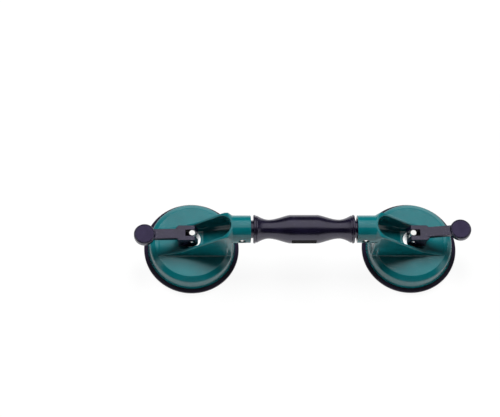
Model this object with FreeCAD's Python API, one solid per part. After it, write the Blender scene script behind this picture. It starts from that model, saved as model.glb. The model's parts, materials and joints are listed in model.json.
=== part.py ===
import FreeCAD, Part
import math
import os
from FreeCAD import Vector

# Twin-cup suction lifter. X runs along the handle, Z is up, and the pads stand on Z = 0.
# The two heads are the same moulding: the second is the first turned half round about Z.
# One head is drawn about its own cup centre, with +X pointing in towards the handle.

# Whole lifter
cup_spacing = 277.0
handle_axis_height = 67.0
full_turn = 360.0
half_turn = 180.0

# Rubber pad, drawn in its clamped shape with the middle lifted
pad_radius = 60.0
pad_rim_height = 4.5
pad_rim_round = 1.6
pad_top_round = 0.8
pad_contact_width = 9.0
pad_land_width = 8.0
pad_skin = 2.2
pad_boss_wall = 4.0
pad_lift = 7.3
pad_floor_room = 0.3
rubber_room = 0.3

# Steel insert and pull stud
insert_radius = 22.0
insert_thickness = 2.5
insert_edge_bevel = 0.6
stud_radius = 3.9
stud_collar_radius = 7.0
stud_collar_height = 2.0
stud_top_bevel = 1.5

# Lever pin and cam
lever_pin_height = 48.3
lever_pin_radius = 2.0
lever_pin_end = 0.7
lever_swing_deg = 100.0
cam_room = 0.3
cam_steps = 10
sliding_fit = 0.08
pin_fit = 0.04

# Bearing washer under the cam
washer_radius = 11.0
washer_thickness = 2.2
washer_top_height = 34.0
washer_stand = 0.2
washer_edge_room = 0.3

# Lever
clevis_width = 19.6
clevis_slot_width = 8.3
clevis_slot_reach = 8.5
clevis_top_rise = 7.7
clevis_nose_reach = 3.0
clevis_heel_reach = 17.0
clevis_heel_round = 3.0
clevis_shoulder = 3.3
arm_width = 12.8
arm_thickness = 6.6
arm_rise_at_disc = 11.4
thumb_disc_reach = 59.3
thumb_disc_radius = 13.25
thumb_disc_thickness = 9.0
thumb_disc_rise = 12.6
thumb_dish_depth = 0.9
thumb_dish_slope = 1.2
thumb_rim_width = 1.5
thumb_edge_bevel = 1.3
disc_side_step = 3.1

# Head moulding: plate
plate_radius = 52.8
plate_foot_radius = 55.4
plate_edge_height = 21.0
plate_ledge_width = 1.2
plate_slope_width = 5.3
plateau_height = 25.0
plate_edge_round = 1.2
wall = 3.0
rib_count = 8
rib_thickness = 2.0
rib_sink = 1.5
rib_room = 0.6
stud_boss_radius = 9.0
stud_boss_room = 0.8

# Head moulding: scoop, hood and socket
scoop_start = -41.0
scoop_foot_half_width = 19.0
scoop_half_width = 17.3
scoop_draft_top = 55.0
scoop_corner = 5.0
seat_reach_out = 17.0
seat_reach_in = 14.0
ramp_steps = 2
hood_end = 44.0
hood_corner = 6.5
hood_blend = 6.0
mouth_end = 47.5
lip_start_height = 25.6
lip_low_pull = 45.0
lip_low_height = 33.0
lip_high_pull = 22.5
lip_high_height = 78.0
lip_end = 49.5
socket_radius = 17.15
socket_bore_radius = 13.5
socket_end = 72.3
blend_inset = 0.4
mouth_overlap = 1.0

# Tilt joint
tilt_pin_inset = 10.9
tilt_pin_radius = 2.1
tilt_recess_radius = 4.6
tilt_recess_depth = 3.0
tilt_clip_thickness = 0.8
tilt_clip_radius = 3.6
tilt_pin_end = 0.9
tilt_boss_radius = 5.0
side_play = 0.3
bush_radius = 3.3
bush_room = 0.1

# Grip, stub ends and core rod
grip_end_gap = 3.3
flange_radius = 17.75
flange_width = 2.8
flange_step_width = 4.7
flange_step = 0.5
waist_radius = 11.85
waist_place = 43.8
belly_radius = 17.7
belly_half_length = 17.7
label_half_length = 15.6
label_depth = 0.7
outline_steps = 3
belly_curve = 2.2
flange_curve = 1.3
stub_radius = 11.1
stub_reach = 9.0
core_radius = 8.0
core_room = 0.05
core_end_inset = 2.0
stub_tip_bevel = 1.0

# Worked-out places, in the head's own frame
tilt_pin_place = socket_end - tilt_pin_inset
head_offset = cup_spacing / 2.0
insert_base_height = pad_lift + pad_floor_room + pad_skin + rubber_room
insert_top_height = insert_base_height + insert_thickness
stud_top_height = lever_pin_height + clevis_top_rise
cam_high = lever_pin_height - washer_top_height - cam_room
cam_fall = pad_lift / math.radians(lever_swing_deg)
seat_height = washer_top_height - washer_stand
bore_floor = handle_axis_height - socket_bore_radius
hood_top = handle_axis_height + socket_radius
socket_face_place = head_offset - socket_end
grip_half_length = socket_face_place - grip_end_gap
above_everything = hood_top + wall


def at(x, z, y=0.0):
    return Vector(x, y, z)


def line(start, end):
    return Part.makeLine(start, end)


def arc(start, middle, end):
    return Part.Arc(start, middle, end).toShape()


def face_of(edges):
    return Part.Face(Part.Wire(edges))


def polygon_face(points):
    return Part.Face(Part.makePolygon(points + [points[0]]))


def turned(points):
    # Solid of revolution about Z from (radius, height) points.
    profile = polygon_face([at(radius, height) for radius, height in points])
    return profile.revolve(Vector(0, 0, 0), Vector(0, 0, 1), full_turn)


def cross_rod(radius, x, z, half_length):
    return Part.makeCylinder(radius, 2 * half_length, Vector(x, -half_length, z), Vector(0, 1, 0))


def upright(radius, low, high):
    return Part.makeCylinder(radius, high - low, Vector(0, 0, low))


def slab(points, half_width):
    # Side profile in the XZ plane, given the same thickness on both sides of the middle.
    profile = polygon_face([at(x, z, -half_width) for x, z in points])
    return profile.extrude(Vector(0, 2 * half_width, 0))


def corner_arc(centre, radius, start_deg, end_deg):
    # Quarter bend in a plane across the handle, drawn about its centre.
    points = []
    for angle in (start_deg, (start_deg + end_deg) / 2, end_deg):
        turn = math.radians(angle)
        points.append(centre + Vector(0, radius * math.cos(turn), radius * math.sin(turn)))
    return arc(*points), points[0], points[-1]


def dished_section(x, half_width, low, high, corner):
    # Trough section: straight sides that bend into a floor, open level across the top.
    left_bend = Vector(x, corner - half_width, low + corner)
    right_bend = Vector(x, half_width - corner, low + corner)
    left_arc, left_side, left_floor = corner_arc(left_bend, corner, 180, 270)
    right_arc, right_floor, right_side = corner_arc(right_bend, corner, 270, 360)
    left_top = Vector(x, -half_width, high)
    right_top = Vector(x, half_width, high)
    return Part.Wire([
        line(left_top, left_side), left_arc, line(left_floor, right_floor), right_arc,
        line(right_side, right_top), line(right_top, left_top)])


def arched_section(x, half_width, low, high, corner):
    # Wall section: a flat foot, straight sides and rounded shoulders.
    right_bend = Vector(x, half_width - corner, high - corner)
    left_bend = Vector(x, corner - half_width, high - corner)
    right_arc, right_side, right_top = corner_arc(right_bend, corner, 0, 90)
    left_arc, left_top, left_side = corner_arc(left_bend, corner, 90, 180)
    left_foot = Vector(x, -half_width, low)
    right_foot = Vector(x, half_width, low)
    return Part.Wire([
        line(right_foot, right_side), right_arc, line(right_top, left_top), left_arc,
        line(left_side, left_foot), line(left_foot, right_foot)])


def smooth_step(share):
    return share * share * (3.0 - 2.0 * share)


def plate():
    # Domed cover plate with a drafted skirt, a narrow ledge and a slope up to the plateau.
    skirt_foot = pad_rim_height + rubber_room
    ledge_inner = plate_radius - plate_ledge_width
    plateau_radius = ledge_inner - plate_slope_width
    outer = turned([
        (0, skirt_foot), (plate_foot_radius, skirt_foot),
        (plate_radius, plate_edge_height - plate_edge_round),
        (plate_radius - plate_edge_round, plate_edge_height),
        (ledge_inner, plate_edge_height),
        (plateau_radius, plateau_height), (0, plateau_height)])
    hollow = turned([
        (0, skirt_foot - wall), (plate_foot_radius - wall, skirt_foot - wall),
        (plate_foot_radius - wall, skirt_foot),
        (plate_radius - wall, plate_edge_height - wall),
        (plateau_radius - wall, plateau_height - wall), (0, plateau_height - wall)])
    return outer.cut(hollow)


def pad_top_at(radius):
    # Height of the rubber's upper face on its sloping part.
    slope_start = pad_radius - pad_land_width
    boss_radius = insert_radius + pad_boss_wall
    share = (slope_start - radius) / (slope_start - boss_radius)
    return pad_rim_height + share * (insert_base_height - pad_rim_height)


def ribs():
    # Radial ribs under the plate, which back the rubber when it is drawn up.
    boss_radius = insert_radius + pad_boss_wall
    outer_end = plate_radius - wall - plate_edge_round
    under_boss = insert_top_height + rib_room
    under_rim = pad_top_at(outer_end) + rib_room
    slope_foot = plate_radius - plate_ledge_width - plate_slope_width
    profile = [
        (stud_boss_radius - rib_sink, plateau_height - rib_sink),
        (stud_boss_radius - rib_sink, under_boss + stud_collar_height),
        (stud_collar_radius + stud_boss_radius, under_boss),
        (boss_radius + rib_room, under_boss), (outer_end, under_rim),
        (outer_end, plate_edge_height - rib_sink), (slope_foot, plateau_height - rib_sink)]
    rib = slab(profile, rib_thickness / 2)
    turns = []
    for index in range(rib_count):
        copy = rib.copy()
        copy.rotate(Vector(0, 0, 0), Vector(0, 0, 1), (index + 0.5) * full_turn / rib_count)
        turns.append(copy)
    return turns


def hood():
    # The scoop's side walls and hood before they are opened, then the blend under the socket.
    low = plate_edge_height - wall
    start = arched_section(scoop_start, scoop_half_width, low, hood_top, hood_corner)
    end = arched_section(hood_end, scoop_half_width, low, hood_top, hood_corner)
    walls = Part.makeLoft([start, end], True, True)
    inner_half = socket_radius - blend_inset
    inner_top = hood_top - blend_inset
    neck = arched_section(hood_end + hood_blend, inner_half, low, inner_top, inner_half - blend_inset)
    foot_end = arched_section(plate_foot_radius, inner_half, low, inner_top, inner_half - blend_inset)
    blend = Part.makeLoft([end, neck], True, True)
    pedestal = Part.makeLoft([neck, foot_end], True, True)
    pedestal = pedestal.common(upright(plate_radius - plate_edge_round, low, above_everything))
    return walls.fuse(drafted_foot(low)).fuse(blend).fuse(pedestal)


def drafted_foot(low):
    # The walls spread a little towards the plateau.
    foot = [
        Vector(scoop_start, -scoop_foot_half_width, low),
        Vector(scoop_start, scoop_foot_half_width, low),
        Vector(scoop_start, scoop_half_width - blend_inset, scoop_draft_top),
        Vector(scoop_start, blend_inset - scoop_half_width, scoop_draft_top)]
    return polygon_face(foot).extrude(Vector(hood_end - scoop_start, 0, 0))


def above_lip():
    # Everything above the sloping lip, whose side view is one smooth S.
    curve = Part.BezierCurve()
    curve.setPoles([
        at(scoop_start, lip_start_height), at(scoop_start + lip_low_pull, lip_low_height),
        at(lip_end - lip_high_pull, lip_high_height), at(lip_end, hood_top)])
    half_width = scoop_foot_half_width + wall
    start = at(scoop_start, lip_start_height)
    end = at(lip_end, hood_top)
    behind = scoop_start - wall
    edges = [
        curve.toShape(), line(end, at(lip_end, above_everything)),
        line(at(lip_end, above_everything), at(behind, above_everything)),
        line(at(behind, above_everything), at(behind, lip_start_height)),
        line(at(behind, lip_start_height), start)]
    profile = face_of(edges)
    profile.translate(Vector(0, -half_width, 0))
    return profile.extrude(Vector(0, 2 * half_width, 0))


def scoop_hollow():
    # Hollow of the scoop: down to the plateau outwards, level under the cam, and up into the bore.
    inner_half = scoop_half_width - wall
    bore_half = socket_bore_radius
    high = handle_axis_height + mouth_overlap
    sections = []
    for step in range(ramp_steps + 1):
        rise = smooth_step(step / ramp_steps)
        x = scoop_start - wall + step / ramp_steps * (wall - seat_reach_out - scoop_start)
        floor = plateau_height + rise * (seat_height - plateau_height)
        sections.append(dished_section(x, inner_half, floor, high, scoop_corner))
    for step in range(ramp_steps + 1):
        rise = smooth_step(step / ramp_steps)
        x = seat_reach_in + step / ramp_steps * (mouth_end - seat_reach_in)
        floor = seat_height + rise * (bore_floor - seat_height)
        half_width = inner_half + rise * (bore_half - inner_half)
        corner = scoop_corner + rise * (bore_half - mouth_overlap - scoop_corner)
        sections.append(dished_section(x, half_width, floor, high, corner))
    return Part.makeLoft(sections, True, True)


def mouth_opening():
    # Half-round-ended opening through the hood, seen from above.
    half = scoop_half_width - wall
    z = handle_axis_height + mouth_overlap / 2
    bend = mouth_end - half
    near, far = Vector(bend, -half, z), Vector(bend, half, z)
    edges = [
        arc(near, Vector(mouth_end, 0, z), far), line(far, Vector(scoop_start, half, z)),
        line(Vector(scoop_start, half, z), Vector(scoop_start, -half, z)),
        line(Vector(scoop_start, -half, z), near)]
    return face_of(edges).extrude(Vector(0, 0, above_everything - z))


def head_shell():
    body = plate().fuse(hood())
    body = body.fuse(upright(stud_boss_radius, insert_top_height + stud_collar_height + stud_boss_room,
                             plateau_height))
    body = body.fuse(ribs())
    tube_start = hood_end + hood_blend / 2
    tube = Part.makeCylinder(socket_radius, socket_end - tube_start,
                             Vector(tube_start, 0, handle_axis_height), Vector(1, 0, 0))
    body = body.fuse(tube)
    body = body.cut(above_lip()).cut(scoop_hollow()).cut(mouth_opening())
    bore = Part.makeCylinder(socket_bore_radius, socket_end,
                             Vector(mouth_end - mouth_overlap / 2, 0, handle_axis_height), Vector(1, 0, 0))
    body = body.cut(bore)
    body = body.cut(underside_pocket())
    for side in (-1, 1):
        body = body.fuse(tilt_boss(side))
    for side in (-1, 1):
        face_y = side * (socket_radius - tilt_recess_depth)
        body = body.cut(Part.makeCylinder(
            tilt_recess_radius, 2 * tilt_recess_depth,
            Vector(tilt_pin_place, face_y, handle_axis_height), Vector(0, side, 0)))
    body = body.cut(cross_rod(tilt_pin_radius + pin_fit, tilt_pin_place, handle_axis_height,
                              2 * socket_radius))
    seat = upright(washer_radius + washer_edge_room, washer_top_height - washer_thickness,
                   above_everything)
    body = body.cut(seat)
    body = body.cut(upright(stud_radius + sliding_fit, 0, seat_height))
    return body.removeSplitter()


def tilt_boss(side):
    # Boss inside the socket that takes up the side play of the stub end.
    start = side * (stub_radius + side_play)
    length = socket_radius - tilt_recess_depth - stub_radius - side_play + blend_inset
    return Part.makeCylinder(tilt_boss_radius, length,
                             Vector(tilt_pin_place, start, handle_axis_height), Vector(0, side, 0))


def underside_pocket():
    # Core-out under the socket, open to the plate's hollow.
    low = plate_edge_height - 2 * wall
    near = seat_reach_in + wall
    far = plate_radius - plate_ledge_width - plate_slope_width - wall
    points = [
        (near, low), (far, low), (far, bore_floor - 2 * wall),
        (far - 2 * wall, bore_floor - 2 * wall), (near, seat_height - wall)]
    return slab(points, scoop_half_width - wall)


def suction_pad():
    # Rubber disc with a flat sealing land, a thin drawn-up middle and a pocket for the insert.
    land_inner = pad_radius - pad_contact_width
    boss_radius = insert_radius + pad_boss_wall
    pocket_radius = insert_radius + rubber_room
    hollow_height = pad_lift + pad_floor_room
    return turned([
        (0, hollow_height), (boss_radius, hollow_height), (land_inner, 0),
        (pad_radius - pad_rim_round, 0), (pad_radius, pad_rim_round),
        (pad_radius, pad_rim_height - pad_top_round),
        (pad_radius - pad_top_round, pad_rim_height),
        (pad_radius - pad_land_width, pad_rim_height), (boss_radius, insert_base_height),
        (boss_radius, insert_top_height), (pocket_radius, insert_top_height),
        (pocket_radius, insert_base_height - rubber_room), (0, insert_base_height - rubber_room)])


def pad_insert():
    disc = upright(insert_radius, insert_base_height, insert_top_height)
    rim = [edge for edge in disc.Edges if edge.BoundBox.ZLength < sliding_fit]
    return disc.makeChamfer(insert_edge_bevel, rim)


def pull_stud():
    collar_top = insert_top_height + stud_collar_height
    shank = turned([
        (0, insert_top_height), (stud_collar_radius, insert_top_height), (stud_collar_radius, collar_top),
        (stud_radius, collar_top), (stud_radius, stud_top_height - stud_top_bevel),
        (stud_radius - stud_top_bevel, stud_top_height), (0, stud_top_height)])
    eye = cross_rod(lever_pin_radius + pin_fit, 0, lever_pin_height, clevis_width)
    return shank.cut(eye)


def cam_washer():
    ring = upright(washer_radius, washer_top_height - washer_thickness, washer_top_height)
    return ring.cut(upright(stud_radius + sliding_fit, 0, above_everything))


def cam_point(angle):
    # Point of the cam that meets the washer once the lever has swung up by this angle.
    height = cam_high - cam_fall * angle
    x = height * math.sin(angle) - cam_fall * math.cos(angle)
    z = -height * math.cos(angle) - cam_fall * math.sin(angle)
    return at(x, lever_pin_height + z, -clevis_width / 2)


def clevis():
    # Two cam cheeks joined behind the stud. The cam is an involute, so its fall is even.
    swing = math.radians(lever_swing_deg)
    cam = Part.BSplineCurve()
    cam.interpolate([cam_point(swing * step / cam_steps) for step in range(cam_steps + 1)])
    y = -clevis_width / 2
    top = lever_pin_height + clevis_top_rise
    sole = lever_pin_height - cam_high
    contact = cam_point(0.0)
    nose = cam_point(swing)
    round_centre = at(-clevis_heel_reach + clevis_heel_round, sole + clevis_heel_round, y)
    reach = clevis_heel_round * math.cos(math.radians(45))
    heel_low = at(round_centre.x, sole, y)
    heel_side = at(-clevis_heel_reach, round_centre.z, y)
    heel_middle = round_centre + Vector(-reach, 0, -reach)
    top_back = at(-clevis_heel_reach, top, y)
    top_nose = at(clevis_nose_reach, top, y)
    edges = [
        cam.toShape(), line(nose, top_nose), line(top_nose, top_back), line(top_back, heel_side),
        arc(heel_side, heel_middle, heel_low), line(heel_low, contact)]
    return face_of(edges).extrude(Vector(0, clevis_width, 0))


def shoulder_block():
    # Tapered shoulder between the clevis and the narrower arm, seen from above.
    top = lever_pin_height + clevis_top_rise
    half = clevis_width / 2
    arm_half = arm_width / 2
    outer = -clevis_heel_reach - clevis_shoulder
    points = [
        Vector(-clevis_heel_reach, -half, top), Vector(-clevis_heel_reach, half, top),
        Vector(outer, arm_half, top), Vector(outer, -arm_half, top)]
    return polygon_face(points).extrude(Vector(0, 0, -arm_thickness))


def lever_arm():
    top = lever_pin_height + clevis_top_rise
    disc_top = lever_pin_height + arm_rise_at_disc
    profile = [
        (-clevis_heel_reach + wall, top), (-thumb_disc_reach, disc_top),
        (-thumb_disc_reach, disc_top - arm_thickness), (-clevis_heel_reach + wall, top - arm_thickness)]
    bar = slab(profile, arm_width / 2)
    top_height = lever_pin_height + thumb_disc_rise
    disc = Part.makeCylinder(thumb_disc_radius, thumb_disc_thickness,
                             at(-thumb_disc_reach, top_height - thumb_disc_thickness))
    rims = [edge for edge in disc.Edges if edge.BoundBox.ZLength < sliding_fit]
    disc = disc.makeChamfer(thumb_edge_bevel, rims)
    dish_radius = thumb_disc_radius - thumb_rim_width
    dish = Part.makeCone(dish_radius - thumb_dish_slope, dish_radius, thumb_dish_depth,
                         at(-thumb_disc_reach, top_height - thumb_dish_depth))
    arm = bar.fuse(disc).cut(dish)
    side_turn = math.degrees(math.atan2(disc_side_step, thumb_disc_reach))
    arm.rotate(Vector(0, 0, 0), Vector(0, 0, 1), side_turn)
    return arm


def lever():
    body = clevis().fuse(shoulder_block()).fuse(lever_arm())
    low = lever_pin_height - cam_high - wall
    slot_end = -clevis_slot_reach
    slot = Part.makeBox(clevis_slot_reach + clevis_heel_reach, clevis_slot_width, above_everything - low,
                        Vector(slot_end, -clevis_slot_width / 2, low))
    body = body.cut(slot)
    body = body.cut(cross_rod(lever_pin_radius + pin_fit, 0, lever_pin_height, clevis_width))
    return body.removeSplitter()


def lever_pin():
    return cross_rod(lever_pin_radius, 0, lever_pin_height, clevis_width / 2 + lever_pin_end)


def tilt_pin():
    return cross_rod(tilt_pin_radius, tilt_pin_place, handle_axis_height, socket_radius - tilt_pin_end)


def pin_clips():
    clips = []
    for side in (-1, 1):
        face_y = side * (socket_radius - tilt_recess_depth)
        start = Vector(tilt_pin_place, face_y, handle_axis_height)
        ring = Part.makeCylinder(tilt_clip_radius, tilt_clip_thickness, start, Vector(0, side, 0))
        clips.append(ring.cut(cross_rod(tilt_pin_radius + pin_fit, tilt_pin_place, handle_axis_height,
                                        socket_radius)))
    return Part.makeCompound(clips)


def pivot_bush():
    bush = cross_rod(bush_radius, tilt_pin_place, handle_axis_height, stub_radius - bush_room)
    return bush.cut(cross_rod(tilt_pin_radius + pin_fit, tilt_pin_place, handle_axis_height, socket_radius))


def end_stub():
    # Round end piece on the core rod that carries the head on its tilt pin.
    start = tilt_pin_place - stub_reach
    length = head_offset - grip_half_length - start
    body = Part.makeCylinder(stub_radius, length, Vector(start, 0, handle_axis_height), Vector(1, 0, 0))
    tip = [edge for edge in body.Edges if edge.BoundBox.XMax < start + core_room]
    body = body.makeChamfer(stub_tip_bevel, tip)
    hole_start = start + core_end_inset
    body = body.cut(Part.makeCylinder(core_radius + core_room, length,
                                      Vector(hole_start, 0, handle_axis_height), Vector(1, 0, 0)))
    return body.cut(cross_rod(bush_radius + pin_fit, tilt_pin_place, handle_axis_height, 2 * stub_radius))


def core_rod():
    # Steel rod from stub to stub, cross-drilled for both bushes. Drawn in the whole lifter's frame.
    half_length = head_offset - tilt_pin_place + stub_reach - core_end_inset - core_room
    rod = Part.makeCylinder(core_radius, 2 * half_length,
                            Vector(-half_length, 0, handle_axis_height), Vector(1, 0, 0))
    for side in (-1, 1):
        place = side * (head_offset - tilt_pin_place)
        rod = rod.cut(cross_rod(bush_radius + pin_fit, place, handle_axis_height, 2 * core_radius))
    return rod


def swept_radius(share, start, end, end_slope):
    # Radius along a curve that leaves its start level and meets its end at a slope.
    return start + (end - start) * share ** 2 * (end_slope + (1.0 - end_slope) * share)


def grip_half_outline():
    # Half of the grip's outline from the belly's middle to the end face, as (place, radius) points.
    points = [(0.0, belly_radius), (belly_half_length, belly_radius)]
    step_place = grip_half_length - flange_step_width
    step_radius = flange_radius - 2 * flange_step
    for index in range(1, outline_steps + 1):
        share = 1.0 - index / outline_steps
        place = waist_place + share * (belly_half_length - waist_place)
        points.append((place, swept_radius(share, waist_radius, belly_radius, belly_curve)))
    for index in range(1, outline_steps + 1):
        share = index / outline_steps
        place = waist_place + share * (step_place - waist_place)
        points.append((place, swept_radius(share, waist_radius, step_radius, flange_curve)))
    rim_place = grip_half_length - flange_width
    points += [
        (rim_place, flange_radius - flange_step), (rim_place, flange_radius),
        (grip_half_length - flange_step, flange_radius), (grip_half_length, flange_radius - flange_step),
        (grip_half_length, core_radius + core_room)]
    return points


def grip_sleeve():
    # Turned outline: flanges, waists and a straight belly, with a plain label flat on the front.
    half = grip_half_outline()
    outline = [(-place, radius) for place, radius in reversed(half[1:])] + half[1:]
    profile = polygon_face([Vector(place, 0, radius) for place, radius in outline])
    body = profile.revolve(Vector(0, 0, 0), Vector(1, 0, 0), full_turn)
    flat = Part.makeBox(2 * label_half_length, belly_radius, 2 * belly_radius,
                        Vector(-label_half_length, label_depth - 2 * belly_radius, -belly_radius))
    body = body.cut(flat)
    body.translate(Vector(0, 0, handle_axis_height))
    return body


def placed(shape, side):
    # Head-frame piece moved to its cup, and turned half round for the second head.
    copy = shape.copy()
    copy.translate(Vector(-head_offset, 0, 0))
    if side == "right":
        copy.rotate(Vector(0, 0, 0), Vector(0, 0, 1), half_turn)
    return copy


def main():
    os.makedirs("parts", exist_ok=True)
    head_pieces = {
        "suction_pad": suction_pad(), "pad_insert": pad_insert(), "pull_stud": pull_stud(),
        "head_shell": head_shell(), "cam_washer": cam_washer(), "lever": lever(),
        "lever_pin": lever_pin(), "tilt_pin": tilt_pin(), "pin_clips": pin_clips(),
        "pivot_bush": pivot_bush(), "end_stub": end_stub()}
    pieces = {"grip_sleeve": grip_sleeve(), "core_rod": core_rod()}
    for side in ("left", "right"):
        for name, shape in head_pieces.items():
            pieces[side + "_" + name] = placed(shape, side)
    for name, shape in pieces.items():
        shape.exportStep("parts/" + name + ".step")
        box = shape.BoundBox
        print(name, "solids", len(shape.Solids), "valid", shape.isValid(), "volume", round(shape.Volume),
              "box", round(box.XMin, 1), round(box.YMin, 1), round(box.ZMin, 1),
              round(box.XMax, 1), round(box.YMax, 1), round(box.ZMax, 1))


main()
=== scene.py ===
import json
import math

import bmesh
import bpy
from mathutils import Matrix, Vector

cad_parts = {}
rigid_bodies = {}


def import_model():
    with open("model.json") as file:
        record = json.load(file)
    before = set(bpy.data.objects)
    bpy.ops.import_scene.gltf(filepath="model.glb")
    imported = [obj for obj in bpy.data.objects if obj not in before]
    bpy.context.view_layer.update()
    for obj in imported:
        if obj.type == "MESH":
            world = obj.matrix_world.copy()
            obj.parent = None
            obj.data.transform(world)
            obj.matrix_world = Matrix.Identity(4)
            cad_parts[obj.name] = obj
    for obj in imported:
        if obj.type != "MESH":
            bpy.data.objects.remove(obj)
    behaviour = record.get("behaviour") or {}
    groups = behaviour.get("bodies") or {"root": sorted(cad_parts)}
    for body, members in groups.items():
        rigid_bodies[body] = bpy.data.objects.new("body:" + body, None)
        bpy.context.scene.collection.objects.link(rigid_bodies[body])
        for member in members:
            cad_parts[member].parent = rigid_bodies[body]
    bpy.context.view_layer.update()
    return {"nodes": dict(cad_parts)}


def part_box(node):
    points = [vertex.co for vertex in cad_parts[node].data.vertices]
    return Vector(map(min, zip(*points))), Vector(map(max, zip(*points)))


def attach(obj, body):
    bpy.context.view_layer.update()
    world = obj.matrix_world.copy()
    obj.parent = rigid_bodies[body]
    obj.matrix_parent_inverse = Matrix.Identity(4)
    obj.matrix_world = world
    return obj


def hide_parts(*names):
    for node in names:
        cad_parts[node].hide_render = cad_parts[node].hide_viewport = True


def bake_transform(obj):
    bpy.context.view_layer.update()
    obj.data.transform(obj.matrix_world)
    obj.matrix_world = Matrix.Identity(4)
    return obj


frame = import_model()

mm = 0.001
tiny = 1e-6  # below any real size, in metres as in millimetres
noiseMiddle = 0.5  # the value that a noise texture varies about
sides = ("left", "right")


class Value:
    # One varying socket. Sums, differences and products with it add their own Math nodes.
    def __init__(self, finish, socket):
        self.finish = finish
        self.socket = socket

    def maths(self, operation, first, second):
        return self.finish.add("ShaderNodeMath", {"operation": operation}, {0: first, 1: second})

    def __add__(self, other):
        return self.maths("ADD", self, other)

    def __radd__(self, other):
        return self.maths("ADD", other, self)

    def __sub__(self, other):
        return self.maths("SUBTRACT", self, other)

    def __rsub__(self, other):
        return self.maths("SUBTRACT", other, self)

    def __mul__(self, other):
        return self.maths("MULTIPLY", self, other)

    def __rmul__(self, other):
        return self.maths("MULTIPLY", other, self)

    def clamped(self):
        return self.finish.add("ShaderNodeClamp", {}, {"Value": self})

    def between(self, low, high):
        # 0 below low, 1 above high, smooth on the way.
        return self.finish.add("ShaderNodeMapRange", {"interpolation_type": "SMOOTHSTEP"},
                               {"Value": self, "From Min": low, "From Max": high})


class Finish:
    # A node tree, for a material or the world, and the few calls that fill it.
    def __init__(self, name, owner=None):
        self.owner = owner or bpy.data.materials.new(name)
        self.owner.use_nodes = True
        self.tree = self.owner.node_tree
        self.tree.nodes.clear()

    def add(self, kind, settings, inputs, output=0):
        node = self.tree.nodes.new(kind)
        for key, value in settings.items():
            setattr(node, key, value)
        for key, value in inputs.items():
            self.feed(node.inputs[key], value)
        return Value(self, node.outputs[output]) if node.outputs else None

    def feed(self, socket, value):
        if isinstance(value, Value):
            self.tree.links.new(value.socket, socket)
        else:
            socket.default_value = value

    def place(self):
        return self.add("ShaderNodeTexCoord", {}, {}, "Object")

    def noise(self, scale, detail=2.0, roughness=0.5):
        return self.add("ShaderNodeTexNoise", {},
                        {"Vector": self.place(), "Scale": scale, "Detail": detail, "Roughness": roughness})

    def mixed(self, share, first, second):
        # Colour mix: the first at share 0, the second at share 1. Its sockets go by number.
        return self.add("ShaderNodeMix", {"data_type": "RGBA"}, {0: share, 6: first, 7: second}, 2)

    def seen(self):
        # 1 for rays of the lens, of mirrors and through glass, 0 for the light on the lifter.
        camera = self.add("ShaderNodeLightPath", {}, {}, "Is Camera Ray")
        glossy = self.add("ShaderNodeLightPath", {}, {}, "Is Glossy Ray")
        through = self.add("ShaderNodeLightPath", {}, {}, "Is Transmission Ray")
        return (camera + glossy + through).clamped()

    def surface(self, inputs):
        shader = self.add("ShaderNodeBsdfPrincipled", {}, inputs)
        self.add("ShaderNodeOutputMaterial", {}, {"Surface": shader})
        return self.owner


def opaque(colour):
    return (*colour, 1.0)


plasticSkin = {
    "flowDetail": 3.0, "flowBand": (0.3, 0.7), "skinDetail": 2.0, "rubDetail": 4.0, "rubGrain": 0.65,
    "rubBand": (0.45, 0.7), "edgeBand": (0.515, 0.56), "wornRoughness": 0.2}


def moulded(name, look):
    # Moulded plastic: faint flow shading, a fine skin and edges rubbed a little lighter.
    finish = Finish(name)
    flow = finish.noise(look["flowScale"], plasticSkin["flowDetail"])
    skin = finish.noise(look["skinScale"], plasticSkin["skinDetail"])
    rub = finish.noise(look["rubScale"], plasticSkin["rubDetail"], plasticSkin["rubGrain"])
    edge = finish.add("ShaderNodeNewGeometry", {}, {}, "Pointiness").between(*plasticSkin["edgeBand"])
    worn = edge * rub.between(*plasticSkin["rubBand"]) * look["wear"]
    base = finish.mixed(flow.between(*plasticSkin["flowBand"]), opaque(look["deep"]), opaque(look["light"]))
    colour = finish.mixed(worn, base, opaque(look["rubbed"]))
    uneven = (flow - noiseMiddle) * look["roughSpread"]
    roughness = look["roughness"] + uneven + worn * plasticSkin["wornRoughness"]
    bump = finish.add("ShaderNodeBump", {}, {
        "Strength": look["skinStrength"], "Distance": look["skinDepth"] * mm, "Height": skin})
    return finish.surface({
        "Base Color": colour, "Roughness": roughness, "Normal": bump, "IOR": look["ior"],
        "Specular IOR Level": look["gloss"], "Specular Tint": opaque(look["sheen"])})


rubberSkin = {"bloomDetail": 4.0, "bloomGrain": 0.6, "bloomBand": (0.35, 0.75), "grainDetail": 2.0}


def rubberFinish(name, look):
    # Black rubber with a dusty bloom in patches.
    finish = Finish(name)
    bloom = finish.noise(look["bloomScale"], rubberSkin["bloomDetail"], rubberSkin["bloomGrain"])
    grain = finish.noise(look["grainScale"], rubberSkin["grainDetail"])
    patches = bloom.between(*rubberSkin["bloomBand"])
    colour = finish.mixed(patches, opaque(look["deep"]), opaque(look["light"]))
    roughness = look["roughness"] + (bloom - noiseMiddle) * look["roughSpread"]
    bump = finish.add("ShaderNodeBump", {}, {
        "Strength": look["grainStrength"], "Distance": look["grainDepth"] * mm, "Height": grain})
    return finish.surface({
        "Base Color": colour, "Roughness": roughness, "Normal": bump, "Specular IOR Level": look["gloss"]})


metalSkin = {
    "lineDetail": 2.0, "lineStrength": 0.25, "lineRoughness": 0.06, "smudgeDetail": 3.0,
    "smudgeBand": (0.35, 0.7)}


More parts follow.
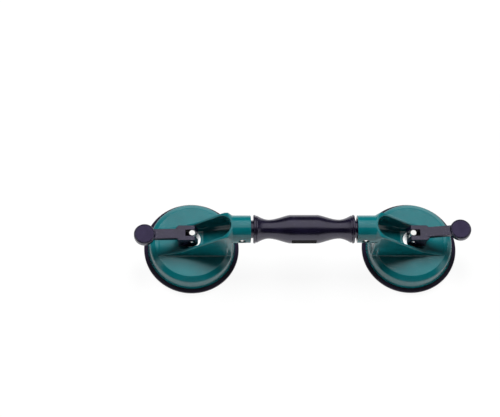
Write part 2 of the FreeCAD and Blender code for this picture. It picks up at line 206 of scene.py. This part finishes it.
def metalFinish(name, look):
    # Turned or drawn steel: fine lines along one axis and faint smudges.
    finish = Finish(name)
    stretched = finish.add("ShaderNodeMapping", {}, {"Vector": finish.place(), "Scale": look["stretch"]})
    lines = finish.add("ShaderNodeTexNoise", {}, {
        "Vector": stretched, "Scale": look["lineScale"], "Detail": metalSkin["lineDetail"]})
    smudge = finish.noise(look["smudgeScale"], metalSkin["smudgeDetail"])
    patches = smudge.between(*metalSkin["smudgeBand"])
    colour = finish.mixed(patches, opaque(look["deep"]), opaque(look["light"]))
    uneven = (smudge - noiseMiddle) * look["roughSpread"]
    roughness = look["roughness"] + uneven + (lines - noiseMiddle) * metalSkin["lineRoughness"]
    bump = finish.add("ShaderNodeBump", {}, {
        "Strength": metalSkin["lineStrength"], "Distance": look["lineDepth"] * mm, "Height": lines})
    return finish.surface({"Base Color": colour, "Roughness": roughness, "Metallic": 1.0, "Normal": bump})


finishes = {
    "green_moulding": moulded("tealPlastic", {
        "deep": (0.0012, 0.108, 0.124), "light": (0.0024, 0.126, 0.144), "rubbed": (0.05, 0.21, 0.23),
        "flowScale": 42.0, "skinScale": 900.0, "rubScale": 260.0, "wear": 0.15,
        "roughness": 0.2, "roughSpread": 0.08, "skinStrength": 0.2, "skinDepth": 0.04,
        "ior": 1.58, "gloss": 0.5, "sheen": (1.0, 1.0, 1.0)}),
    "dark_moulding": moulded("darkPlastic", {
        "deep": (0.0035, 0.0026, 0.0095), "light": (0.0065, 0.005, 0.017), "rubbed": (0.05, 0.045, 0.07),
        "flowScale": 60.0, "skinScale": 1300.0, "rubScale": 320.0, "wear": 0.15,
        "roughness": 0.25, "roughSpread": 0.08, "skinStrength": 0.3, "skinDepth": 0.05,
        "ior": 1.8, "gloss": 0.5, "sheen": (0.86, 0.82, 1.0)}),
    "grained_moulding": moulded("grainedPlastic", {
        "deep": (0.018, 0.0135, 0.034), "light": (0.026, 0.02, 0.046), "rubbed": (0.05, 0.046, 0.07),
        "flowScale": 80.0, "skinScale": 2200.0, "rubScale": 500.0, "wear": 0.1,
        "roughness": 0.5, "roughSpread": 0.12, "skinStrength": 0.6, "skinDepth": 0.12,
        "ior": 1.5, "gloss": 0.4, "sheen": (0.85, 0.78, 1.0)}),
    "label_plate": moulded("labelPlate", {
        "deep": (0.0026, 0.002, 0.003), "light": (0.005, 0.004, 0.005), "rubbed": (0.02, 0.018, 0.02),
        "flowScale": 80.0, "skinScale": 2200.0, "rubScale": 500.0, "wear": 0.1,
        "roughness": 0.62, "roughSpread": 0.1, "skinStrength": 0.4, "skinDepth": 0.05,
        "ior": 1.2, "gloss": 0.3, "sheen": (0.9, 0.85, 1.0)}),
    "rubber": rubberFinish("blackRubber", {
        "deep": (0.0065, 0.0038, 0.0135), "light": (0.0115, 0.0075, 0.02), "bloomScale": 34.0,
        "grainScale": 1500.0, "grainStrength": 0.35, "grainDepth": 0.06,
        "roughness": 0.55, "roughSpread": 0.16, "gloss": 0.24}),
    "steel": metalFinish("platedSteel", {
        "deep": (0.42, 0.42, 0.43), "light": (0.55, 0.55, 0.56), "stretch": (40.0, 1.0, 1.0),
        "lineScale": 90.0, "lineDepth": 0.02, "smudgeScale": 120.0, "roughness": 0.3, "roughSpread": 0.12}),
    "bright_steel": metalFinish("polishedSteel", {
        "deep": (0.88, 0.88, 0.87), "light": (0.95, 0.95, 0.94), "stretch": (1.0, 1.0, 20.0),
        "lineScale": 120.0, "lineDepth": 0.01, "smudgeScale": 150.0, "roughness": 0.2, "roughSpread": 0.08}),
    "spring_steel": metalFinish("springSteel", {
        "deep": (0.16, 0.16, 0.17), "light": (0.25, 0.25, 0.26), "stretch": (1.0, 1.0, 1.0),
        "lineScale": 200.0, "lineDepth": 0.01, "smudgeScale": 160.0, "roughness": 0.36, "roughSpread": 0.12}),
    "white_plastic": moulded("whitePlastic", {
        "deep": (0.92, 0.93, 0.93), "light": (0.95, 0.96, 0.96), "rubbed": (0.96, 0.96, 0.95),
        "flowScale": 90.0, "skinScale": 1200.0, "rubScale": 300.0, "wear": 0.2,
        "roughness": 0.34, "roughSpread": 0.08, "skinStrength": 0.15, "skinDepth": 0.03,
        "ior": 1.48, "gloss": 0.5, "sheen": (1.0, 1.0, 1.0)})}
print("finishes ready:", len(finishes))


def dress(piece, slotName):
    piece.data.materials.clear()
    piece.data.materials.append(finishes[slotName])
    piece.data.polygons.foreach_set("use_smooth", [True] * len(piece.data.polygons))


def linkedPiece(name, mesh):
    piece = bpy.data.objects.new(name, mesh)
    bpy.context.scene.collection.objects.link(piece)
    return piece


def settle(piece):
    # Works the modifiers into the mesh.
    graph = bpy.context.evaluated_depsgraph_get()
    mesh = bpy.data.meshes.new_from_object(piece.evaluated_get(graph))
    piece.modifiers.clear()
    piece.data = mesh


def roundedCopy(nodeName, pieceName, shape, backing=()):
    # A fine closed mesh of the node, and of a slab if its corners are given, with all edges rounded.
    piece = linkedPiece(pieceName, frame["nodes"][nodeName].data.copy())
    work = bmesh.new()
    work.from_mesh(piece.data)
    bmesh.ops.remove_doubles(work, verts=work.verts, dist=tiny)
    if backing:
        hull = bmesh.ops.convex_hull(work, input=[work.verts.new(corner) for corner in backing])
        bmesh.ops.delete(work, geom=hull["geom_unused"] + hull["geom_interior"], context="VERTS")
    work.to_mesh(piece.data)
    work.free()
    piece.data.materials.clear()
    fine = piece.modifiers.new("fine", "REMESH")
    fine.mode = "VOXEL"
    fine.voxel_size = shape["voxel"] * mm
    ease = piece.modifiers.new("ease", "SMOOTH")
    ease.factor = shape["ease"]
    ease.iterations = shape["easeTimes"]
    settle(piece)
    print(pieceName, "faces", len(piece.data.polygons))
    return piece


def bodyOf(nodeName):
    return frame["nodes"][nodeName].parent.name.split(":", 1)[1]


rounding = {"straight": 178.0, "longestReach": 0.45}


def roundedOutline(points, radii, steps):
    # The open outline, with each corner that has a radius rounded to it.
    path = [Vector(points[0])]
    for index in range(1, len(points) - 1):
        corner = Vector(points[index])
        back = Vector(points[index - 1]) - corner
        ahead = Vector(points[index + 1]) - corner
        radius = radii.get(index, 0.0)
        opening = back.angle(ahead)
        if radius <= 0.0 or opening > math.radians(rounding["straight"]):
            path.append(corner)
            continue
        shorter = min(back.length, ahead.length)
        reach = min(radius / math.tan(opening / 2), rounding["longestReach"] * shorter)
        start = corner + back.normalized() * reach
        end = corner + ahead.normalized() * reach
        for step in range(steps + 1):
            share = step / steps
            path.append(start * (1 - share) ** 2 + corner * 2 * share * (1 - share) + end * share ** 2)
    path.append(Vector(points[-1]))
    return path


def lathed(name, outline, toPlace, segments):
    # Turns (radius, height) points about the height axis; toPlace maps a turned point to its place.
    mesh = bpy.data.meshes.new(name)
    work = bmesh.new()
    rings = []
    for radius, height in outline:
        if radius < tiny:
            rings.append([work.verts.new(toPlace(0.0, 0.0, height))])
            continue
        ring = []
        for index in range(segments):
            turn = 2 * math.pi * index / segments
            ring.append(work.verts.new(toPlace(radius * math.cos(turn), radius * math.sin(turn), height)))
        rings.append(ring)
    for lower, upper in zip(rings, rings[1:]):
        for index in range(segments):
            after = (index + 1) % segments
            corners = [lower[index % len(lower)], lower[after % len(lower)],
                       upper[after % len(upper)], upper[index % len(upper)]]
            distinct = list(dict.fromkeys(corners))
            if len(distinct) > 2:
                work.faces.new(distinct)
    bmesh.ops.recalc_face_normals(work, faces=work.faces)
    work.to_mesh(mesh)
    work.free()
    return linkedPiece(name, mesh)


grip = {
    "halfLength": 62.9, "flangeRadius": 17.75, "flangeWidth": 2.8, "grooveWidth": 0.7, "grooveDepth": 0.75,
    "stepWidth": 4.7, "stepDrop": 1.0, "waistRadius": 11.85, "waistPlace": 43.8,
    "bellyRadius": 17.7, "bellyHalf": 17.7, "bellyCurve": 2.2, "flangeCurve": 1.3, "curveSteps": 14,
    "labelHalf": 15.6, "labelDepth": 0.7, "labelEdge": 0.12, "labelSlack": 0.01, "boreRadius": 8.05,
    "bellyRound": 1.0, "stepRound": 0.5, "grooveRound": 0.25, "flangeInnerRound": 0.9,
    "flangeOuterRound": 1.0, "roundSteps": 4, "segments": 144}


def sweptRadius(share, start, end, curve):
    # Leaves the start level. The larger the curve, the flatter it meets the end.
    return start + (end - start) * share ** 2 * (curve + (1.0 - curve) * share)


def gripHalfOutline():
    # Radius and place along the axis, from the middle of the grip to the bore in its end.
    belly, waist, waistPlace = grip["bellyRadius"], grip["waistRadius"], grip["waistPlace"]
    steps = grip["curveSteps"]
    points = [(belly, 0.0), (belly, grip["labelHalf"]), (belly, grip["labelHalf"] + grip["labelEdge"]),
              (belly, grip["bellyHalf"])]
    for index in range(1, steps + 1):
        share = 1.0 - index / steps
        place = waistPlace + share * (grip["bellyHalf"] - waistPlace)
        points.append((sweptRadius(share, waist, belly, grip["bellyCurve"]), place))
    stepPlace = grip["halfLength"] - grip["stepWidth"]
    stepRadius = grip["flangeRadius"] - grip["stepDrop"]
    for index in range(1, steps + 1):
        share = index / steps
        place = waistPlace + share * (stepPlace - waistPlace)
        points.append((sweptRadius(share, waist, stepRadius, grip["flangeCurve"]), place))
    rimPlace = grip["halfLength"] - grip["flangeWidth"]
    groovePlace = rimPlace - grip["grooveWidth"]
    grooveRadius = stepRadius - grip["grooveDepth"]
    points += [(stepRadius, groovePlace), (grooveRadius, groovePlace), (grooveRadius, rimPlace),
               (grip["flangeRadius"], rimPlace), (grip["flangeRadius"], grip["halfLength"]),
               (grip["boreRadius"], grip["halfLength"])]
    return points


def makeGrip():
    # A turned grip with a flat on its front for the label.
    half = gripHalfOutline()
    count = len(half)
    # Corners counted from the middle of the belly, and back from the bore.
    radii = {3: grip["bellyRound"], count - 7: grip["stepRound"], count - 6: grip["grooveRound"],
             count - 3: grip["flangeInnerRound"], count - 2: grip["flangeOuterRound"]}
    upper = roundedOutline(half, radii, grip["roundSteps"])
    outline = [Vector((point.x, -point.y)) for point in reversed(upper[1:])] + upper
    outline.append(outline[0])
    low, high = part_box("grip_sleeve")
    axisHeight = (low.z + high.z) / 2

    def toPlace(across, up, along):
        flat = abs(along) <= grip["labelHalf"] + grip["labelSlack"]
        front = grip["bellyRadius"] - grip["labelDepth"]
        inward = max(across, -front) if flat else across
        return Vector((along * mm, inward * mm, axisHeight + up * mm))

    piece = lathed("gripSleeve", outline, toPlace, grip["segments"])
    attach(piece, "grip")
    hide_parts("grip_sleeve")
    dress(piece, "dark_moulding")


label = {
    "length": 30.6, "height": 9.2, "corner": 1.2, "cornerSteps": 6, "stand": 0.35,
    "edgeWidth": 0.12, "edgeSteps": 2}


def makeLabel():
    # Bare plate in the flat on the front of the grip.
    low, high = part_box("grip_sleeve")
    height = (low.z + high.z) / 2
    face = -(grip["bellyRadius"] - grip["labelDepth"]) * mm
    work = bmesh.new()
    ring = []
    for across, up, start in ((1, 1, 0), (-1, 1, 90), (-1, -1, 180), (1, -1, 270)):
        for step in range(label["cornerSteps"] + 1):
            turn = math.radians(start + 90 * step / label["cornerSteps"])
            x = across * (label["length"] / 2 - label["corner"]) + label["corner"] * math.cos(turn)
            z = up * (label["height"] / 2 - label["corner"]) + label["corner"] * math.sin(turn)
            ring.append(work.verts.new((x * mm, face, height + z * mm)))
    plate = work.faces.new(ring)
    raised = bmesh.ops.extrude_face_region(work, geom=[plate])["geom"]
    front = [part for part in raised if isinstance(part, bmesh.types.BMVert)]
    bmesh.ops.translate(work, verts=front, vec=(0, -label["stand"] * mm, 0))
    bmesh.ops.recalc_face_normals(work, faces=work.faces)
    mesh = bpy.data.meshes.new("gripLabel")
    work.to_mesh(mesh)
    work.free()
    piece = linkedPiece("gripLabel", mesh)
    soften = piece.modifiers.new("edge", "BEVEL")
    soften.width = label["edgeWidth"] * mm
    soften.segments = label["edgeSteps"]
    settle(piece)
    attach(piece, "grip")
    piece.data.materials.append(finishes["label_plate"])


pad = {
    "radius": 60.0, "rimHeight": 4.5, "rimRound": 1.6, "contactWidth": 9.0, "landWidth": 8.0,
    "landRound": 1.1, "innerRound": 0.8, "innerDrop": 0.4, "rimSteps": 6,
    "rings": 3, "ringStart": 1.0, "ringPitch": 1.9, "ringDepth": 0.5,
    "ringFloorFrom": 0.3, "ringFloorTo": 0.8, "ringEnd": 1.1,
    "skin": 2.2, "skinFoot": 0.5, "skinLap": 0.3, "skinSteps": 12,
    "bossRadius": 26.0, "bossInset": 1.0, "bossTop": 12.6, "bossRound": 0.5,
    "pocketRadius": 22.3, "shelf": 10.1, "hollowHeight": 7.6, "hollowRound": 3.0, "middleSteps": 5,
    "bendFrom": 0.8, "segments": 160}


def padRimOutline():
    # Section of the rim, with the sealing rings as grooves in the face on the pane.
    inner = pad["radius"] - pad["contactWidth"]
    points = [(inner, pad["innerDrop"])]
    for index in range(pad["rings"]):
        start = inner + pad["ringStart"] + index * pad["ringPitch"]
        points += [(start, 0.0), (start + pad["ringFloorFrom"], pad["ringDepth"]),
                   (start + pad["ringFloorTo"], pad["ringDepth"]), (start + pad["ringEnd"], 0.0)]
    outerFoot = len(points)
    top = pad["rimHeight"]
    points += [(pad["radius"], 0.0), (pad["radius"], top), (pad["radius"] - pad["landWidth"], top),
               (inner, top - pad["innerDrop"]), (inner, pad["innerDrop"])]
    radii = {outerFoot: pad["rimRound"], outerFoot + 1: pad["landRound"], outerFoot + 2: pad["innerRound"]}
    return roundedOutline(points, radii, pad["rimSteps"])


def padMiddleOutline():
    # Section of the drawn-up middle, with the pocket for the insert on top.
    edge = pad["radius"] - pad["contactWidth"] + pad["skinLap"]
    boss, shelf, hollow = pad["bossRadius"], pad["shelf"], pad["hollowHeight"]
    shoulder = boss - pad["bossInset"]
    skinTop = shelf + pad["skinLap"]
    steps = pad["skinSteps"]
    points = [(0.0, hollow), (shoulder, hollow)]
    for index in range(1, steps + 1):
        share = index / steps
        points.append((shoulder + share * (edge - shoulder), hollow * (1 - share) + pad["skinFoot"] * share))
    outside = pad["skinFoot"] + pad["skin"]
    for index in range(steps + 1):
        share = index / steps
        points.append((edge + share * (boss - edge), outside + share * (skinTop - outside)))
    points += [(boss, pad["bossTop"]), (pad["pocketRadius"], pad["bossTop"]), (pad["pocketRadius"], shelf),
               (0.0, shelf)]
    count = len(points)
    radii = {1: pad["hollowRound"], count - 4: pad["bossRound"], count - 3: pad["bossRound"]}
    return roundedOutline(points, radii, pad["middleSteps"])


def makePads(side):
    # The rim rides on the head. The drawn-up middle sits between the head and the stud.
    low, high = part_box(side + "_suction_pad")
    middle = (low + high) / 2

    def toPlace(x, y, z):
        return Vector((middle.x + x * mm, middle.y + y * mm, z * mm))

    rim = lathed(side + "PadRim", padRimOutline(), toPlace, pad["segments"])
    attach(rim, side + "_head")
    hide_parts(side + "_suction_pad")
    dress(rim, "rubber")
    drawn = lathed(side + "PadMiddle", padMiddleOutline(), toPlace, pad["segments"])
    dress(drawn, "rubber")
    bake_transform(drawn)
    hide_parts(side + "_suction_pad")


ramp = {
    "start": 30.0, "end": 41.0, "height": 43.0, "rise": 0.6, "half": 12.0, "cover": 0.35,
    "thickness": 2.0}


def rampBacking(side):
    # Corners of a slab that thickens the scoop's floor from below where it is thin.
    low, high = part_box(side + "_suction_pad")
    centre = (low.x + high.x) / 2
    inward = 1 if side == "left" else -1
    corners = []
    for along in (ramp["start"], ramp["end"]):
        top = ramp["height"] + ramp["rise"] * (along - ramp["start"]) - ramp["cover"]
        for across in (-ramp["half"], ramp["half"]):
            for height in (top, top - ramp["thickness"]):
                corners.append((centre + inward * along * mm, across * mm, height * mm))
    return corners


headShape = {"voxel": 0.5, "ease": 0.5, "easeTimes": 4}
leverShape = {"voxel": 0.35, "ease": 0.5, "easeTimes": 4}


def makeMouldings(side):
    head = roundedCopy(side + "_head_shell", side + "HeadShell", headShape, rampBacking(side))
    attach(head, bodyOf(side + "_head_shell"))
    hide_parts(side + "_head_shell")
    dress(head, "green_moulding")
    lever = roundedCopy(side + "_lever", side + "Lever", leverShape)
    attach(lever, bodyOf(side + "_lever"))
    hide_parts(side + "_lever")
    dress(lever, "dark_moulding")


pins = {"dome": 0.45, "segments": 48, "domeSteps": 8, "shoulder": 0.05}


def makePin(side, kind):
    # Cross pin with domed ends, on the axis and at the length of its node.
    low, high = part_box(side + "_" + kind)
    middle = (low + high) / 2
    radius = (high.z - low.z) / 2 / mm
    half = (high.y - low.y) / 2 / mm
    dome = pins["dome"] * radius
    domeRadius = radius - pins["shoulder"]
    outline = [Vector((0.0, -half))]
    for step in range(1, pins["domeSteps"] + 1):
        turn = math.pi / 2 * step / pins["domeSteps"]
        outline.append(Vector((domeRadius * math.sin(turn), -half + dome * (1 - math.cos(turn)))))
    outline.append(Vector((radius, -half + dome + pins["shoulder"])))
    outline += [Vector((point.x, -point.y)) for point in reversed(outline)]

    def toPlace(across, up, along):
        return Vector((middle.x + across * mm, middle.y + along * mm, middle.z + up * mm))

    name = side + "".join(word.capitalize() for word in kind.split("_"))
    piece = lathed(name, outline, toPlace, pins["segments"])
    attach(piece, bodyOf(side + "_" + kind))
    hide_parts(side + "_" + kind)
    dress(piece, "bright_steel")


stud = {
    "radius": 3.9, "collarRadius": 7.0, "collarHeight": 2.0, "collarRound": 0.3, "neckRound": 0.4,
    "crown": 0.35, "crownPlace": 0.6, "crownShare": 0.3, "crownRound": 2.0, "edge": 0.55,
    "roundSteps": 4, "segments": 64}


def makeStud(side):
    # Turned stud with a collar on the insert and a slightly crowned top.
    low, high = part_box(side + "_pull_stud")
    middle = (low + high) / 2
    height = (high.z - low.z) / mm
    radius, collar, crown = stud["radius"], stud["collarRadius"], stud["crown"]
    points = [(0.0, 0.0), (collar, 0.0), (collar, stud["collarHeight"]), (radius, stud["collarHeight"]),
              (radius, height - crown), (radius * stud["crownPlace"], height - crown * stud["crownShare"]),
              (0.0, height)]
    radii = {1: stud["collarRound"], 2: stud["collarRound"], 3: stud["neckRound"], 4: stud["edge"],
             5: stud["crownRound"]}
    outline = roundedOutline(points, radii, stud["roundSteps"])

    def toPlace(x, y, z):
        return Vector((middle.x + x * mm, middle.y + y * mm, low.z + z * mm))

    piece = lathed(side + "PullStud", outline, toPlace, stud["segments"])
    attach(piece, bodyOf(side + "_pull_stud"))
    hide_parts(side + "_pull_stud")
    dress(piece, "bright_steel")


thumbCap = {
    "discRadius": 13.25, "rim": 1.5, "slope": 0.5, "dishDepth": 0.9, "foot": 0.02, "stand": 0.62,
    "hollow": 0.2, "rings": 6, "edge": 0.25, "edgeSteps": 3, "segments": 96}


def makeThumbCap(side):
    # Grained inlay in the dish of the thumb disc, very slightly hollow.
    low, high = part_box(side + "_lever")
    corner = low if side == "left" else high
    inward = thumbCap["discRadius"] * mm if side == "left" else -thumbCap["discRadius"] * mm
    centreX = corner.x + inward
    centreY = corner.y + inward
    floor = high.z - thumbCap["dishDepth"] * mm
    radius = thumbCap["discRadius"] - thumbCap["rim"] - thumbCap["slope"]
    points = [(0.0, thumbCap["foot"]), (radius, thumbCap["foot"]), (radius, thumbCap["stand"])]
    for step in range(1, thumbCap["rings"] + 1):
        share = step / thumbCap["rings"]
        points.append((radius * (1 - share), thumbCap["stand"] - thumbCap["hollow"] * share * (2 - share)))
    outline = roundedOutline(points, {2: thumbCap["edge"]}, thumbCap["edgeSteps"])

    def toPlace(x, y, z):
        return Vector((centreX + x * mm, centreY + y * mm, floor + z * mm))

    piece = lathed(side + "ThumbCap", outline, toPlace, thumbCap["segments"])
    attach(piece, bodyOf(side + "_lever"))
    dress(piece, "grained_moulding")


edges = {"width": 0.25, "segments": 3, "angle": 32.0}


def easeEdges(node):
    # Small rounded edges on a solid that is shown as it comes.
    node.data.polygons.foreach_set("use_smooth", [True] * len(node.data.polygons))
    soften = node.modifiers.new("edges", "BEVEL")
    soften.width = edges["width"] * mm
    soften.segments = edges["segments"]
    soften.limit_method = "ANGLE"
    soften.angle_limit = math.radians(edges["angle"])
    soften.harden_normals = True
    node.modifiers.new("shading", "WEIGHTED_NORMAL").keep_sharp = True


shownSolids = {
    "core_rod": "steel", "cam_washer": "white_plastic", "pin_clips": "spring_steel",
    "pivot_bush": "bright_steel", "end_stub": "dark_moulding", "pad_insert": "steel"}


def dressFrameNodes():
    # The solids that no piece above replaces.
    for name, node in frame["nodes"].items():
        kind = name.split("_", 1)[1] if name.split("_", 1)[0] in sides else name
        if kind in shownSolids:
            node.data.materials.clear()
            node.data.materials.append(finishes[shownSolids[kind]])
            easeEdges(node)


makeGrip()
makeLabel()
for side in sides:
    makePads(side)
    makeMouldings(side)
    makeThumbCap(side)
    makeStud(side)
    for kind in ("lever_pin", "tilt_pin"):
        makePin(side, kind)
dressFrameNodes()
print("pieces built")


photo = {
    "wide": 500, "high": 417, "originX": 300.1, "originY": 249.45, "metresPerPixel": 0.001275,
    "distance": 2.5, "elevation": 68.0, "sideLean": 0.074, "sensor": 36.0, "clipEnd": 20.0}


def makeCamera():
    # Looks from the front and high up, placed so that the lifter's origin falls on its own pixel.
    rise = math.radians(photo["elevation"])
    toCamera = Vector((-photo["sideLean"], -math.cos(rise), math.sin(rise))).normalized()
    focal = photo["distance"] / photo["metresPerPixel"]
    along = Vector((1, 0, 0))
    ahead = -toCamera
    upward = along.cross(ahead).normalized()
    rightward = ahead.cross(upward)
    ahead = (ahead * focal - rightward * (photo["originX"] - photo["wide"] / 2)
             + upward * (photo["originY"] - photo["high"] / 2)).normalized()
    upward = along.cross(ahead).normalized()
    rightward = ahead.cross(upward)
    data = bpy.data.cameras.new("viewCamera")
    data.sensor_width = photo["sensor"]
    data.lens = focal * photo["sensor"] / photo["wide"]
    data.clip_end = photo["clipEnd"]
    camera = bpy.data.objects.new("viewCamera", data)
    bpy.context.scene.collection.objects.link(camera)
    turn = Matrix((rightward, upward, -ahead)).transposed().to_4x4()
    camera.matrix_world = Matrix.Translation(toCamera * photo["distance"]) @ turn
    bpy.context.scene.camera = camera


studio = {
    "skyLight": 0.1, "floorWide": 2.6, "floorFront": -1.6, "floorBack": 0.5, "floorShade": 0.9,
    "floorSpread": 0.02, "floorGrain": 300.0, "floorGlow": 0.92}


def makeWorld():
    # White where it is seen or mirrored, and a plain even light otherwise.
    world = bpy.data.worlds.new("tent")
    bpy.context.scene.world = world
    finish = Finish("tent", world)
    seen = finish.seen()
    strength = seen + (1.0 - seen) * studio["skyLight"]
    glow = finish.add("ShaderNodeBackground", {}, {"Color": (1, 1, 1, 1), "Strength": strength})
    finish.add("ShaderNodeOutputWorld", {}, {"Surface": glow})


flag = {
    "radius": 1.7, "reach": 2.6, "low": 22.0, "high": 82.0, "steps": 16, "shade": 0.004,
    "weaveScale": 40.0, "backPlace": 0.62, "backHigh": 0.5, "backWide": 1.6,
    "sidePlace": 1.5, "sideFront": -0.2, "sideBack": 1.6, "sideLow": 0.25, "sideHigh": 1.3}


def sheetOf(name, rows):
    # A sheet through rows of two points each.
    mesh = bpy.data.meshes.new(name)
    points = [point for row in rows for point in row]
    starts = range(0, 2 * (len(rows) - 1), 2)
    faces = [(start, start + 1, start + 3, start + 2) for start in starts]
    mesh.from_pydata(points, [], faces)
    piece = linkedPiece(name, mesh)
    return piece


def makeFlags():
    # Dark cloths that the lens doesn't see: one arched over the front, the others upright.
    finish = Finish("darkCloth")
    shade = flag["shade"]
    weave = finish.noise(flag["weaveScale"])
    colour = finish.mixed(weave, (shade, shade, shade, 1), (2 * shade, 2 * shade, 2 * shade, 1))
    cloth = finish.add("ShaderNodeBsdfDiffuse", {}, {"Color": colour})
    finish.add("ShaderNodeOutputMaterial", {}, {"Surface": cloth})
    rows = []
    for step in range(flag["steps"] + 1):
        turn = math.radians(flag["low"] + (flag["high"] - flag["low"]) * step / flag["steps"])
        back = -flag["radius"] * math.cos(turn)
        up = flag["radius"] * math.sin(turn)
        rows.append([(-flag["reach"], back, up), (flag["reach"], back, up)])
    wide, place = flag["backWide"], flag["backPlace"]
    uprights = {"backFlag": ((-wide, place), (wide, place), 0.0, flag["backHigh"])}
    for side, across in (("left", -flag["sidePlace"]), ("right", flag["sidePlace"])):
        uprights[side + "Flag"] = ((across, flag["sideFront"]), (across, flag["sideBack"]),
                                   flag["sideLow"], flag["sideHigh"])
    flags = [sheetOf("frontFlag", rows)]
    for name, (begin, end, low, high) in uprights.items():
        upright = sheetOf(name, [[(*begin, low), (*end, low)], [(*begin, high), (*end, high)]])
        upright.visible_diffuse = False
        upright.visible_shadow = False
        flags.append(upright)
    for piece in flags:
        piece.data.materials.append(finish.owner)
        piece.visible_camera = False


def makeFloor():
    # White paper that takes the shadow, and that is nearly pure white where it is seen.
    wide, near, far = studio["floorWide"], studio["floorFront"], studio["floorBack"]
    floor = sheetOf("floor", [[(-wide, near, 0), (wide, near, 0)], [(-wide, far, 0), (wide, far, 0)]])
    finish = Finish("floorPaper")
    grain = finish.noise(studio["floorGrain"])
    shade = studio["floorShade"]
    paler = shade + studio["floorSpread"]
    colour = finish.mixed(grain, (shade, shade, shade, 1), (paler, paler, paler, 1))
    paper = finish.add("ShaderNodeBsdfDiffuse", {}, {"Color": colour})
    glow = finish.add("ShaderNodeEmission", {}, {"Color": (1, 1, 1, 1), "Strength": 1.0})
    share = finish.seen() * studio["floorGlow"]
    blend = finish.add("ShaderNodeMixShader", {}, {0: share, 1: paper, 2: glow})
    finish.add("ShaderNodeOutputMaterial", {}, {"Surface": blend})
    floor.data.materials.append(finish.owner)


lamps = {
    "overheadBox": {
        "wide": 1.0, "deep": 1.2, "power": 92.0, "spread": 180.0,
        "place": (0.0, 1.22, 2.15), "aim": (0.0, 0.0, 0.0)},
    "frontPaperLamp": {
        "wide": 1.4, "deep": 0.2, "power": 2.6, "spread": 70.0,
        "place": (0.0, -0.62, 0.42), "aim": (0.0, -0.44, 0.0)}}


def makeLamp(name):
    # Flat lamp. Only its plain light is wanted, so it isn't mirrored.
    lamp = lamps[name]
    data = bpy.data.lights.new(name, "AREA")
    data.shape = "RECTANGLE"
    data.size = lamp["wide"]
    data.size_y = lamp["deep"]
    data.energy = lamp["power"]
    data.spread = math.radians(lamp["spread"])
    box = bpy.data.objects.new(name, data)
    bpy.context.scene.collection.objects.link(box)
    box.location = lamp["place"]
    box.rotation_euler = (Vector(lamp["aim"]) - Vector(lamp["place"])).to_track_quat("-Z", "Y").to_euler()
    box.visible_glossy = False


makeCamera()
makeWorld()
makeFlags()
makeFloor()
for lampName in lamps:
    makeLamp(lampName)
bpy.context.scene.view_settings.view_transform = "Standard"
print("studio ready")
